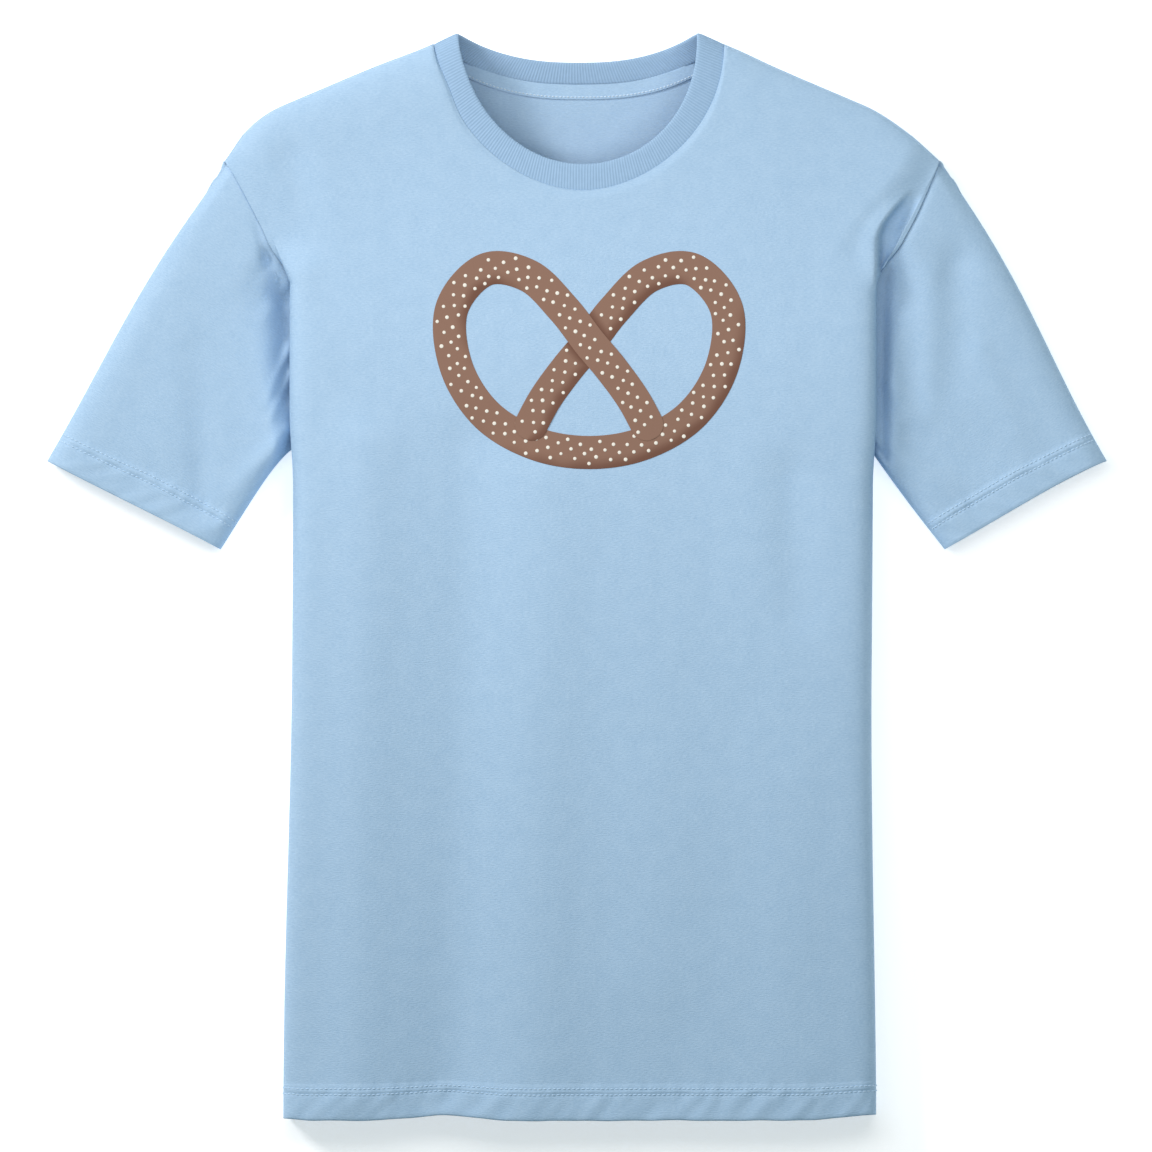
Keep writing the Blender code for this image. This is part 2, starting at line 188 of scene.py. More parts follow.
# Soft folds of the body as (x, y) to (x, y), half width, height at the start and at the end, in millimetres
BODY_FOLDS = (
    (-140, 85, -146, -345, 24, 4.6, 4.2),
    (-72, 85, -84, -345, 23, -3.4, -3.6),
    (-20, 60, -28, -345, 30, 3.4, 4.0),
    (40, 40, 40, -260, 40, 0.8, 2.4),
    (141, 65, 146, -20, 16, -2.6, -1.8),
    (130, -150, 146, -340, 34, 1.4, 3.4),
    (-190, 275, -164, 184, 14, -3.0, -1.0),
    (212, 232, 216, 244, 2.6, -1.6, -1.2),
    (216, 230, 221, 242, 2.2, 0.8, 0.6),
    (-210, 231, -203, 236, 2.0, -1.2, -0.2),
)
# The same for the sleeves
SLEEVE_FOLDS = (
    (-253, 150, -248, 45, 10, -1.2, -3.4),
    (-262, 190, -270, 90, 22, 1.2, 1.6),
    (253, 207, 252, 130, 12, -2.6, -0.8),
    (236, 200, 234, 110, 9, 1.4, 1.0),
    (-210, 236, -204, 210, 4, -4.0, -4.6),
    (-203, 210, -197, 186, 6, -4.0, -4.4),
    (-196, 186, -194, 122, 8, -4.6, -5.0),
    (-196, 122, -195, 92, 7, 0.0, -2.0),
    (204, 205, 202.5, 80, 5.0, -6.0, -9.0),
    (-199, 209, -210, 188, 2.6, 3.8, 1.0),
    (-194, 197, -208, 171, 3.0, 4.2, 1.0),
    (-191, 152, -207, 114, 3.2, 3.6, 0.8),
    (-190, 136, -205, 101, 3.0, 3.4, 0.5),
    (-192, 96, -240, 46, 6, 3.4, 0.0),
    (205, 88, 262, 44, 7, 2.4, 0.0),
    (207, 128, 240, 78, 6, 1.8, 0.0),
    (222, 96, 280, 62, 8, -1.4, -0.4),
    (268, 150, 292, 96, 8, 1.0, 0.6),
)
# Where the body's right side ends over the yoke: the cloth drops off along this line, beside the armhole,
# as (y, x, how much of the drop there is), in millimetres and as a share. Beyond it lies a hollow this deep.
STEP_LINE = (
    (188, 195.0, 0.0), (196, 194.9, 0.7), (203, 194.8, 1.0), (226, 195.1, 1.0), (233, 197.6, 1.0),
    (241, 203.0, 0.80), (247, 208.2, 0.45), (255, 215.0, 0.0),
)
STEP_HOLLOW = 0.0062

# Printed pretzel: half of its rope's line, from an end to the middle of the lower bow, in tenths of a metre
PRINT_CENTRE = Vector((0.008, 0.1530))
PRINT_SCALE = 0.100
PRINT_HALF_WIDTH = 0.0110
PRINT_LINE = (
    (-0.43, -0.62), (-0.30, -0.37), (-0.15, -0.16), (0.0, 0.02), (0.17, 0.24), (0.40, 0.46), (0.69, 0.50),
    (0.91, 0.24), (0.88, -0.14), (0.68, -0.46), (0.36, -0.65), (0.0, -0.71),
)
PRINT_LIFT = 0.00022
STRAND_LIFT = 0.00035
SECOND_STRAND = (0.80, 0.95)
DOT_RADIUS = 0.00125
DOT_COUNT = 236
GOLDEN_RATIO = 0.618034

# Studio: light is soft and comes from the upper left, the camera looks straight down
SKY = "d3f0f2"
SKY_STRENGTH = 0.30
LAMP = "fffbfc"
OVERHEAD_POWER = 5.1
UPPER_LEFT_POWER = 77.5
FLOOR_GLOW = 0.50
CAMERA_PLACE = (-0.0007, 0.0003, 8.0)
CAMERA_LENS = 375.2


def smooth(value, low=0.0, high=1.0):
    """0 below low, 1 above high, and an S curve between them."""
    t = min(1.0, max(0.0, (value - low) / (high - low)))
    return t * t * (3.0 - 2.0 * t)


def mix(a, b, t):
    """a at 0, b at 1, and evenly between them."""
    return a + (b - a) * t


def roll(share, power=3.2):
    """Height of a rounded edge, 0 at the edge where it stands upright and 1 where it has levelled out."""
    q = min(1.0, max(0.0, share))
    return (1.0 - (1.0 - q) ** power) ** (1.0 / power)


def near(x, y, place_x, place_y, reach_x, reach_y):
    """1 at a place seen from above, fading out over its reach."""
    return math.exp(-((x - place_x) / reach_x) ** 2 - ((y - place_y) / reach_y) ** 2)


def shift(x, y):
    """The shirt lies a little to the right at the chest and the neck and to the left at the shoulders."""
    body = mix(SHIFT_HEM, SHIFT_CHEST, smooth(y, *SHIFT_RISE_Y))
    shoulder = mix(body, SHIFT_SHOULDER, smooth(y, *SHIFT_TURN_Y)) * (1.0 - smooth(y, *SHIFT_END_Y))
    neck = body * (1.0 - smooth(y, *SHIFT_NECK_Y))
    lie = mix(neck, shoulder, smooth(abs(x), *SHIFT_NECK_X)) * (1.0 - smooth(abs(x), *SHIFT_END_X))
    drawn_in = DRAWN_IN * near(x, y, DRAWN_IN_X, DRAWN_IN_Y, DRAWN_IN_REACH, DRAWN_IN_REACH)
    lean = LEAN * near(x, y, LEAN_X, LEAN_Y, LEAN_REACH_X, LEAN_REACH_Y)
    return lie + drawn_in + lean


def shoulder_y(x):
    """The outline of the shoulder seen from above."""
    past = max(0.0, abs(x) - DROOP_START)
    return NECK_LINE_Y - SHOULDER_SLOPE * (abs(x) - NECK_X) - DROOP * past * past


TIP_Y = shoulder_y(TIP_X)
ROLL_TOP_Y = shoulder_y(ROLL_TOP_X)


def shoulder_share(x, y, width=SHOULDER_ROLL):
    return roll(0.92 * (shoulder_y(x) - y) / width)


def ridge_x(y):
    """Half the width at the widest line of the body: its side, the fold over the sleeve, then the armhole."""
    side = mix(HEM_HALF, CHEST_HALF, smooth(y, -HALF_LENGTH, -0.06)) + FLAP_WIDER * smooth(y, 0.060, 0.110)
    if y <= FOLD_TOP_Y:
        return side
    share = min(1.0, (y - FOLD_TOP_Y) / (TIP_Y - FOLD_TOP_Y))
    return side + (TIP_X - TIP_RIM - side) * share ** ARMHOLE_BEND


def armpit_split(y):
    """0 where front and back share the side seam, 1 where the armhole lies open between them."""
    return smooth(y, ARMPIT_Y, ARMPIT_Y + 0.035)


def tuck(y):
    """How far the front's edge is tucked in under the fold that lies over the sleeve."""
    return TUCK * smooth(y, ARMPIT_Y - 0.02, ARMPIT_Y + 0.025) * (1.0 - smooth(y, 0.175, 0.218))


def armhole_rim(y):
    """How far the cloth runs on past its widest line, round the top of the armhole."""
    return mix(0.004 * smooth(y, 0.195, 0.225), TIP_RIM, smooth(y, 0.235, TIP_Y))


def front_ridge_z(y):
    low = mix(SIDE_SEAM + 0.003, 0.026, smooth(y, 0.03, 0.11))
    return mix(low, 0.034, smooth(y, *FLAP_END_Y))


def front_seam(y):
    """The front's edge, at the side seam and round the armhole, as x and z."""
    x = ridge_x(y) - tuck(y) + armhole_rim(y)
    z = mix(mix(SIDE_SEAM, 0.018, armpit_split(y)), ARMHOLE_TOP_Z, smooth(y, *FLAP_END_Y))
    return x, mix(SHOULDER_EDGE, z, shoulder_share(x, y))


def back_edge_z(y):
    low = mix(SIDE_SEAM - 0.0006, 0.005, armpit_split(y))
    return mix(low, 0.019, smooth(y, 0.225, 0.275))


def back_seam(y):
    """The back's edge, under the front's at the side seam and lower round the armhole."""
    x = ridge_x(y) - tuck(y) * mix(1.0, 0.4, armpit_split(y)) + armhole_rim(y)
    return x, mix(SHOULDER_EDGE - SHOULDER_GAP, back_edge_z(y), shoulder_share(x, y, BACK_SHOULDER_ROLL))


def back_neck_y(x):
    return mix(BACK_SEAM_Y, NECK_LINE_Y, min(1.0, abs(x) / NECK_X) ** BACK_SEAM_POWER)


def front_neckline(t):
    """From the lowest point of the front neckline (0) to the shoulder (1)."""
    angle = t * math.pi / 2.0
    across = math.sin(angle) ** NECK_ROUNDNESS
    down = max(0.0, math.cos(angle)) ** NECK_ROUNDNESS
    return Vector((NECK_X * across, NECK_LINE_Y - SEAM_DEPTH * down))


def back_neckline(t):
    x = NECK_X * math.sin(t * math.pi / 2.0)
    return Vector((x, back_neck_y(x)))


def front_height(y):
    rise = mix(HEM_HEIGHT, CHEST_HEIGHT, smooth(y, -HALF_LENGTH, 0.12))
    return rise - NECK_DROP * smooth(y, 0.12, 0.30)


def front_z(x, y, share, edge_height):
    """Height of the front; share is 1 inside its rolled sides."""
    crown = CROWN * max(0.0, 1.0 - (x / CHEST_HALF) ** 2)
    z = mix(edge_height, front_height(y) + crown, share)
    return mix(SHOULDER_EDGE, z, shoulder_share(x, y))


def back_z(x, y, share, edge_height):
    """Height of the back, flat on the floor and raised at its sides and shoulders."""
    z = edge_height * (1.0 - share)
    return mix(SHOULDER_EDGE - SHOULDER_GAP, z, shoulder_share(x, y, BACK_SHOULDER_ROLL))


def fold_height(x, y, folds):
    """The soft folds added up at a place seen from above."""
    total = 0.0
    for x0, y0, x1, y1, width, start, end in folds:
        px, py = x * 1000.0 - x0, y * 1000.0 - y0
        dx, dy = x1 - x0, y1 - y0
        along = min(1.0, max(0.0, (px * dx + py * dy) / (dx * dx + dy * dy)))
        off = (px - along * dx) ** 2 + (py - along * dy) ** 2
        reach = off / (width * width)
        if reach < 9.0:
            total += mix(start, end, along) * math.exp(-reach)
    return total * 0.001


def limp(x, y):
    """The slight unevenness of cloth that has been smoothed out by hand."""
    broad = noise.noise(Vector((x / 0.060, y / 0.110, 0.3)))
    small = noise.noise(Vector((x / 0.016, y / 0.034, 4.1)))
    return LIMP_BROAD * broad + LIMP_SMALL * small


def hem_relief(from_edge, along, rows, depth):
    """The doubled cloth of a hem, drawn in along its rows of thread."""
    doubled = HEM_DOUBLED * (1.0 - smooth(from_edge, depth, depth + 0.0016))
    rounded = -HEM_ROUNDED * (1.0 - smooth(from_edge, 0.0, 0.0020))
    groove = sum(math.exp(-((from_edge - row) / 0.0010) ** 2) for row in rows)
    between = math.exp(-((from_edge - 0.5 * (rows[0] + rows[1])) / 0.0014) ** 2)
    below = 1.0 - smooth(from_edge, rows[0], rows[1])
    beside = math.exp(-((from_edge - 0.5 * (rows[0] + rows[1])) / 0.0065) ** 2)
    pucker = noise.noise(Vector((along / 0.0058, from_edge / 0.020, 7.7)))
    crease = noise.noise(Vector(((along - from_edge) / 0.012, (along + from_edge) / 0.045, 3.1)))
    wave = noise.noise(Vector((along / 0.030, 2.2, 1.3))) * (1.0 - smooth(from_edge, 0.006, 0.045))
    drawn = ROW_SWELL * between - ROW_GROOVE * groove + ROW_PUCKER * beside * pucker
    return doubled + rounded + drawn + HEM_CREASE * below * crease + HEM_WAVE * wave


def hem_lift(x):
    """How far the lower edge is drawn up along the shirt's width."""
    dip = HEM_DIP * math.exp(-((x - HEM_DIP_X) / HEM_DIP_REACH) ** 2)
    corner = HEM_CORNER_RIGHT * smooth(x, 0.150, 0.200) + HEM_CORNER_LEFT * smooth(-x, 0.170, 0.197)
    return dip + corner + HEM_UNEVEN * noise.noise(Vector((x / 0.022, 0.7, 5.0)))


def step_down(x, y, z):
    """On the right, the full cloth drops beyond the STEP_LINE to a hollow that runs out to the armhole."""
    for (y0, x0, share0), (y1, x1, share1) in zip(STEP_LINE, STEP_LINE[1:]):
        if y0 <= y * 1000.0 <= y1:
            t = (y * 1000.0 - y0) / (y1 - y0)
            edge = mix(x0, x1, t) * 0.001
            seam_x, seam_z = front_seam(y)
            past = x - edge
            run = min(1.0, max(0.0, past / max(0.001, seam_x - edge)))
            full = front_z(x, y, 1.0, 0.0)
            hollow = seam_z - STEP_HOLLOW * math.sin(math.pi * run ** 0.7)
            goal = mix(full, hollow, smooth(past, -0.0008, 0.0036))
            return mix(z, goal, mix(share0, share1, t) * smooth(past, -0.020, -0.004))
    return z


def inner_place(c, v, neckline, roll_width):
    """Inside the rolled edges: c runs from the middle to the side, v from the hem to the neck and shoulder."""
    neck_share = NECK_COLUMNS / INNER_COLUMNS
    if c <= neck_share:
        top = neckline(c / neck_share)
        spread = NECK_SPREAD * c / neck_share
    else:
        past = (c - neck_share) / (1.0 - neck_share)
        top_x = mix(NECK_X, ROLL_TOP_X, past)
        top = Vector((top_x, shoulder_y(top_x)))
        spread = mix(NECK_SPREAD, 1.0, past)
    foot_x = HEM_HALF - roll_width
    y = mix(-HALF_LENGTH, ROLL_TOP_Y, v) + (top.y - ROLL_TOP_Y) * v ** 4
    line = foot_x * spread + (roll_side(v, roll_width) - foot_x) * c ** 4
    line_top = foot_x * spread + (roll_side(1.0, roll_width) - foot_x) * c ** 4
    return Vector((line + (top.x - line_top) * v ** 4, y))


def roll_side(v, roll_width):
    """Half the width of the part inside the rolled edge."""
    y = mix(-HALF_LENGTH, TIP_Y, v)
    return ridge_x(y) - mix(roll_width, TIP_X - TIP_RIM - ROLL_TOP_X, smooth(y, 0.19, TIP_Y))


def body_place(u, v, neckline, seam, ridge_z, height, roll_width, rim_columns):
    """A point of the front or the back; u runs from one edge (-1) to the other (1), v from hem to shoulder."""
    side = -1.0 if u < 0.0 else 1.0
    column = abs(u) * (INNER_COLUMNS + ROLL_COLUMNS + rim_columns)
    edge_y = mix(-HALF_LENGTH, TIP_Y, v)
    seam_x, seam_z = seam(edge_y)
    ridge = ridge_x(edge_y) if rim_columns else seam_x
    if column <= INNER_COLUMNS:
        spot = inner_place(column / INNER_COLUMNS, v, neckline, roll_width)
        x, y = spot.x, spot.y
        z = height(x, y, 1.0, ridge_z(edge_y))
    elif column <= INNER_COLUMNS + ROLL_COLUMNS:
        t = (column - INNER_COLUMNS) / ROLL_COLUMNS
        swing = math.sin(t * math.pi / 2.0)
        x = mix(roll_side(v, roll_width), ridge, swing)
        y = mix(mix(-HALF_LENGTH, ROLL_TOP_Y, v), edge_y, swing)
        full = roll(1.0 - swing, SIDE_FULLNESS)
        if rim_columns:
            full = mix(full, smooth(1.0 - swing), smooth(edge_y, 0.195, 0.225))
        z = height(x, y, full, ridge_z(edge_y))
    else:
        t = (column - INNER_COLUMNS - ROLL_COLUMNS) / rim_columns
        turn = t * math.pi / 2.0
        tucked = smooth(tuck(edge_y), 0.0, 0.004)
        x = mix(ridge, seam_x, mix(t, 1.0 - math.cos(turn), tucked))
        y = edge_y
        ridge_top = height(ridge, edge_y, 0.0, ridge_z(edge_y))
        z = mix(ridge_top, seam_z, mix(t, math.sin(turn), tucked))
    return Vector((side * x + shift(side * x, y), y, z))


def row_share(w):
    """Rows lie close together at the hem, where this share of them takes this part, and a little closer on top."""
    hem_rows, hem_part = 0.16, 0.046
    if w < hem_rows:
        return hem_part * w / hem_rows
    past = (w - hem_rows) / (1.0 - hem_rows)
    return mix(hem_part, 1.0, 1.0 - (1.0 - past) ** 1.2)


def front_surface(u, v):
    """The front's outer face with its folds, its hem and the seams that draw it in."""
    spot = body_place(u, v, front_neckline, front_seam, front_ridge_z, front_z, SIDE_ROLL, RIM_COLUMNS)
    x, y = spot.x, spot.y
    from_hem = y + HALF_LENGTH
    edge_share = abs(u)
    firm = 1.0 - smooth(edge_share, 0.90, 1.0)
    near_top = smooth(1.0 - v, 0.0, 0.03)
    relief = (fold_height(x, y, BODY_FOLDS) + limp(x, y) * near_top) * mix(0.25, 1.0, firm)
    relief += hem_relief(from_hem, x, HEM_ROWS, HEM_DEPTH) * mix(0.5, 1.0, firm)
    column = abs(u) * (INNER_COLUMNS + ROLL_COLUMNS + RIM_COLUMNS)
    if column < NECK_COLUMNS + 2:
        relief -= SEAM_DIP * (1.0 - smooth(1.0 - v, 0.0, 0.012))
    if u > 0.0 and column <= INNER_COLUMNS + ROLL_COLUMNS:
        spot.z = step_down(x - shift(x, y), y, spot.z)
    spot.z += relief
    spot.y += hem_lift(x) * (1.0 - smooth(from_hem, 0.0, 0.05))
    return spot


def back_surface(u, v):
    spot = body_place(u, v, back_neckline, back_seam, back_edge_z, back_z, BACK_ROLL, 0)
    spot.y += (hem_lift(spot.x) + 0.0008) * (1.0 - smooth(spot.y + HALF_LENGTH, 0.0, 0.05))
    return spot


def armhole(t, front):
    """The sleeve's edge, from the shoulder tip (0) to the armpit (1), against the body."""
    y = mix(TIP_Y, ARMPIT_Y, t)
    front_x, front_rise = front_seam(y)
    back_x, back_rise = back_seam(y)
    clear = 0.0002
    meet = 1.0 - smooth(t, 0.0, 0.035) + smooth(t, 0.90, 1.0)
    under_flap = 0.0004 + 0.0030 * smooth(t, 0.25, 0.40) * (1.0 - smooth(t, 0.9, 1.0))
    front_spot = Vector((front_x - SEAM_LAP, y, front_rise - under_flap))
    back_spot = Vector((back_x + 4.0 * clear, y, back_rise))
    middle = (front_rise + back_rise) * 0.5 - 0.0015 * smooth(t, 0.85, 1.0)
    tip = 0.0004 * (1.0 - smooth(t, 0.0, 0.05))
    shared = Vector((max(front_x, back_x) + clear - tip, y - tip, middle))
    return (front_spot if front else back_spot).lerp(shared, min(1.0, meet))


def sleeve_outer(s):
    """The sleeve's upper edge seen from above, from the shoulder tip to the hem."""
    start = armhole(0.0, True)
    line = Vector((mix(start.x, SLEEVE_TOP.x, s), mix(start.y, SLEEVE_TOP.y, s)))
    bulge = SLEEVE_BULGE * max(0.0, math.sin(math.pi * s)) ** 1.5 * (1.0 - s) ** 0.8
    return line + Vector((0.866, 0.5)) * bulge


def sleeve_under(s):
    start = armhole(1.0, True)
    line = Vector((mix(start.x, SLEEVE_UNDER.x, s), mix(start.y, SLEEVE_UNDER.y, s)))
    return line - Vector((0.8, 0.6)) * 0.0008 * math.sin(math.pi * s)


def sleeve_plan(v, t, front, side):
    """A point of the sleeve seen from above; t runs from its upper to its under edge, v from root to hem."""
    hem = SLEEVE_TOP.lerp(SLEEVE_UNDER, t)
    across = sleeve_outer(v).lerp(sleeve_under(v), t)
    along = Vector(armhole(t, front).xy).lerp(hem, v)
    corners = sleeve_outer(0.0).lerp(sleeve_under(0.0), t).lerp(hem, v)
    if side > 0.0:
        bow = RIGHT_HEM_BOW * math.sin(math.pi * t ** 0.7) * smooth(v, 0.5, 1.0)
    else:
        bow = LEFT_UNDER_BOW * math.sin(math.pi * v ** 0.6) * t ** 1.5
    return across + along - corners + bow


def sleeve_length(t):
    """From the armhole to the hem, long at the upper edge (0) and short under the arm (1)."""
    upper = (sleeve_outer(1.0) - sleeve_outer(0.0)).length
    under = (sleeve_under(1.0) - sleeve_under(0.0)).length
    return mix(upper, under, t)


def sleeve_turn(turn):
    """The columns lie closer together at the sleeve's rolled edges."""
    return mix(turn, 0.5 - 0.5 * math.cos(turn * math.pi), 0.8)


def sleeve_row_share(w):
    """Rows lie close together at the sleeve's hem, in the same way."""
    hem_rows, hem_part = 0.42, 0.18
    if w > 1.0 - hem_rows:
        return 1.0 - hem_part * (1.0 - w) / hem_rows
    return (1.0 - hem_part) * w / (1.0 - hem_rows)


def sleeve_surface(u, v, side):
    """A point of the sleeve's tube; u goes round it from the upper edge over the front, and v runs to the hem."""
    front = u <= 0.5
    t = sleeve_turn(u * 2.0 if front else 2.0 - u * 2.0)
    spot = sleeve_plan(v, t, front, side)
    span = (sleeve_outer(v) - sleeve_under(v)).length
    near_edge = min(t, 1.0 - t) * span
    edge = mix(mix(armhole(0.0, True).z, armhole(1.0, True).z, t), SLEEVE_EDGE, smooth(v, 0.0, 0.6))
    x = side * spot.x + shift(side * spot.x, spot.y)
    if front:
        top = mix(SLEEVE_HEIGHT, SLEEVE_HEM_HEIGHT, v)
        z = mix(edge, top, roll(near_edge / SLEEVE_ROLL, SLEEVE_FULLNESS))
    else:
        z = edge * (1.0 - roll(near_edge / (0.6 * SLEEVE_ROLL)))
    rise = (0.22 if side > 0.0 else 0.28) if front else 0.42
    z = mix(armhole(t, front).z, z, smooth(v, 0.0, rise))
    soft = smooth(near_edge, 0.0, 0.012)
    from_hem = (1.0 - v) * sleeve_length(t)
    if front:
        z += (fold_height(x, spot.y, SLEEVE_FOLDS) + limp(x, spot.y)) * soft * smooth(v, 0.0, 0.03)
        z += hem_relief(from_hem, t * span + side, SLEEVE_HEM_ROWS, SLEEVE_HEM_DEPTH) * mix(0.4, 1.0, soft)
        z -= SEAM_DIP * (1.0 if side > 0.0 else 0.4) * (1.0 - smooth(v, 0.0, 0.022))
    return Vector((x, spot.y, z))


def collar_line(angle, free_edge):
    """A point of the collar's seam or free edge. Angle 0 is the right shoulder, a quarter turn the centre front."""
    across = math.cos(angle)
    share = abs(math.sin(angle))
    round_across = math.copysign(abs(across) ** NECK_ROUNDNESS, across)
    if math.sin(angle) >= 0.0:
        x = EDGE_X * across if free_edge else (NECK_X + SEAM_LAP) * round_across
        level = EDGE_Y if free_edge else NECK_LINE_Y
        fall = EDGE_DEPTH * share if free_edge else (SEAM_DEPTH + SEAM_LAP) * share ** NECK_ROUNDNESS
        y = level - fall
        inside = min(y, shoulder_y(x) - 0.0005)
        z = front_z(x, inside, 1.0, 0.0) - RIB_THICK * 0.5 - (0.0 if free_edge else SEAM_DIP)
    else:
        x = (EDGE_X if free_edge else NECK_X) * across
        reach = abs(across)
        if free_edge:
            y = mix(BACK_EDGE_Y, EDGE_Y, reach ** BACK_EDGE_POWER)
        else:
            y = mix(BACK_SEAM_Y, NECK_LINE_Y, reach ** BACK_SEAM_POWER)
        rest = RIB_THICK * 0.5 + (0.0022 if free_edge else 0.0002)
        z = mix(SHOULDER_EDGE - RIB_THICK * 0.5, rest, smooth(share, 0.0, 0.75))
    y -= COLLAR_TUCK * (1.0 - smooth(share, 0.0, 0.3)) * (0.25 if free_edge else 1.0)
    return Vector((x, y, z))


def collar_turns(count):
    """Angles round the neck that are evenly spaced along the band."""
    fine = 720
    lengths = [0.0]
    last = None
    for index in range(fine + 1):
        angle = index / fine * 2.0 * math.pi
        here = (collar_line(angle, True) + collar_line(angle, False)) * 0.5
        if last is not None:
            lengths.append(lengths[-1] + (here - last).length)
        last = here
    angles = []
    index = 0
    for step in range(count):
        goal = lengths[-1] * step / count
        while lengths[index + 1] < goal:
            index += 1
        part = (goal - lengths[index]) / (lengths[index + 1] - lengths[index])
        angles.append((index + part) / fine * 2.0 * math.pi)
    return angles


def collar_place(angle, around, ridge):
    """The band's flat section, swept round the neck: seam on one side, folded edge on the other."""
    seam = collar_line(angle, False)
    edge = collar_line(angle, True)
    ahead = collar_line(angle + 0.01, True) + collar_line(angle + 0.01, False)
    behind = collar_line(angle - 0.01, True) + collar_line(angle - 0.01, False)
    across = edge - seam
    normal = across.cross(ahead - behind).normalized()
    turn = around * 2.0 * math.pi
    flat = math.copysign(abs(math.cos(turn)) ** 0.5, math.cos(turn))
    thick = math.copysign(abs(math.sin(turn)) ** 0.5, math.sin(turn))
    swell = RIB_THICK * 0.5 + RIB_HEIGHT * ridge * smooth(1.0 - abs(flat), 0.0, 0.12)
    spot = seam + across * (0.5 + 0.5 * flat) + normal * (thick * swell)
    return spot + Vector((shift(spot.x, spot.y), 0.0, 0.0))


def tape_place(u, v):
    x = (u * 2.0 - 1.0) * TAPE_HALF
    width = TAPE_WIDTH - 0.0010 * (x / TAPE_HALF) ** 2
    y = mix(back_neck_y(x) - width, back_neck_y(x) + SEAM_LAP, v)
    rest = back_z(x, y, 1.0, 0.0) + JERSEY_THICK + 0.0001
    sewn = 0.00025 * math.exp(-((v - TAPE_ROW) / 0.06) ** 2) + 0.0004 * (1.0 - smooth(v, 0.0, 0.10))
    return Vector((x + shift(x, y), y, rest + TAPE_THICK - sewn + 0.0008 * abs(x) / TAPE_HALF))


def colour(code):
    """An sRGB hex code as the linear colour that a shader takes."""
    parts = [int(code[i:i + 2], 16) / 255.0 for i in (0, 2, 4)]
    return [p / 12.92 if p <= 0.04045 else ((p + 0.055) / 1.055) ** 2.4 for p in parts] + [1.0]


def node(tree, kind, settings=(), **sockets):
    """Adds a node. Settings are its own choices; sockets are values or other nodes' outputs.

    A socket goes by its name, or by n and its number where several have the same name.
    """
    made = tree.nodes.new(kind)
    for name, value in dict(settings).items():
        setattr(made, name, value)
    for name, value in sockets.items():
        numbered = name[0] == "n" and name[1:].isdigit()
        socket = made.inputs[int(name[1:]) if numbered else name.replace("_", " ")]
        if isinstance(value, bpy.types.NodeSocket):
            tree.links.new(value, socket)
        else:
            socket.default_value = value
    return made


def plain_material(name, code, roughness):
    material = bpy.data.materials.new(name)
    material.use_nodes = True
    shader = material.node_tree.nodes["Principled BSDF"]
    shader.inputs["Base Color"].default_value = colour(code)
    shader.inputs["Roughness"].default_value = roughness
    shader.inputs["Specular IOR Level"].default_value = 0.25
    return material


def knit_material(name, light, dark, grain_across, grain_along, depth):
    """Cotton knit: short darker and lighter flecks that run across the cloth, no gloss.

    The loops of the real cloth are 0.8 mm wide, too fine to show here, so they are drawn as flecks that are about
    2.5 mm long and 0.8 mm wide. Clouds of about 11 mm make the colour slightly uneven, as washed cotton is.
    """
    material = plain_material(name, light, 0.92)
    tree = material.node_tree
    shader = tree.nodes["Principled BSDF"]
    place = node(tree, "ShaderNodeUVMap", {"uv_map": "cloth"}).outputs["UV"]
    stretched = node(tree, "ShaderNodeMapping", Vector=place, Scale=(grain_across, grain_along, 1.0))
    flecks = node(tree, "ShaderNodeTexNoise", Vector=stretched.outputs["Vector"],
                  Scale=1.0, Detail=3.0, Roughness=0.65)
    broad = node(tree, "ShaderNodeTexNoise", Vector=place, Scale=90.0, Detail=3.0)
    both = node(tree, "ShaderNodeMath", {"operation": "MULTIPLY_ADD"},
                n0=broad.outputs["Fac"], n1=0.30, n2=flecks.outputs["Fac"])
    share = node(tree, "ShaderNodeMapRange", n0=both.outputs["Value"], n1=0.48, n2=0.82)
    tint = node(tree, "ShaderNodeMix", {"data_type": "RGBA"}, n0=share.outputs["Result"])
    tint.inputs[6].default_value = colour(dark)
    tint.inputs[7].default_value = colour(light)
    tree.links.new(tint.outputs[2], shader.inputs["Base Color"])
    bump = node(tree, "ShaderNodeBump", Height=flecks.outputs["Fac"], Strength=1.0, Distance=depth)
    tree.links.new(bump.outputs["Normal"], shader.inputs["Normal"])
    return material


def rib_material():
    """Rib knit with painted shade: each rib is coloured light on its back and darker down in the groove beside it,
    where shade falls, and noise makes the tone slightly uneven.

    The ribs of the real band are 1.4 mm apart, too fine to show here, so they are drawn 1.8 mm apart.
    """
    material = plain_material("cotton_rib", "a9c7e4", 0.92)
    tree = material.node_tree
    shader = tree.nodes["Principled BSDF"]
    ridge = node(tree, "ShaderNodeAttribute", {"attribute_name": "rib_painted_light"})
    place = node(tree, "ShaderNodeUVMap", {"uv_map": "cloth"}).outputs["UV"]
    uneven = node(tree, "ShaderNodeTexNoise", Vector=place, Scale=260.0, Detail=3.0)
    share = node(tree, "ShaderNodeMath", {"operation": "MULTIPLY_ADD"},
                 n0=uneven.outputs["Fac"], n1=0.7, n2=ridge.outputs["Fac"])
    level_of_light = node(tree, "ShaderNodeMapRange", n0=share.outputs["Value"], n1=0.2, n2=1.45)
    tint = node(tree, "ShaderNodeMix", {"data_type": "RGBA"}, n0=level_of_light.outputs["Result"])
    # Painted shade: the darker colour lies down in the grooves, the lighter on the ribs' backs
    tint.inputs[6].default_value = colour("95b3d0")
    tint.inputs[7].default_value = colour("acc9e6")
    tree.links.new(tint.outputs[2], shader.inputs["Base Color"])
    return material


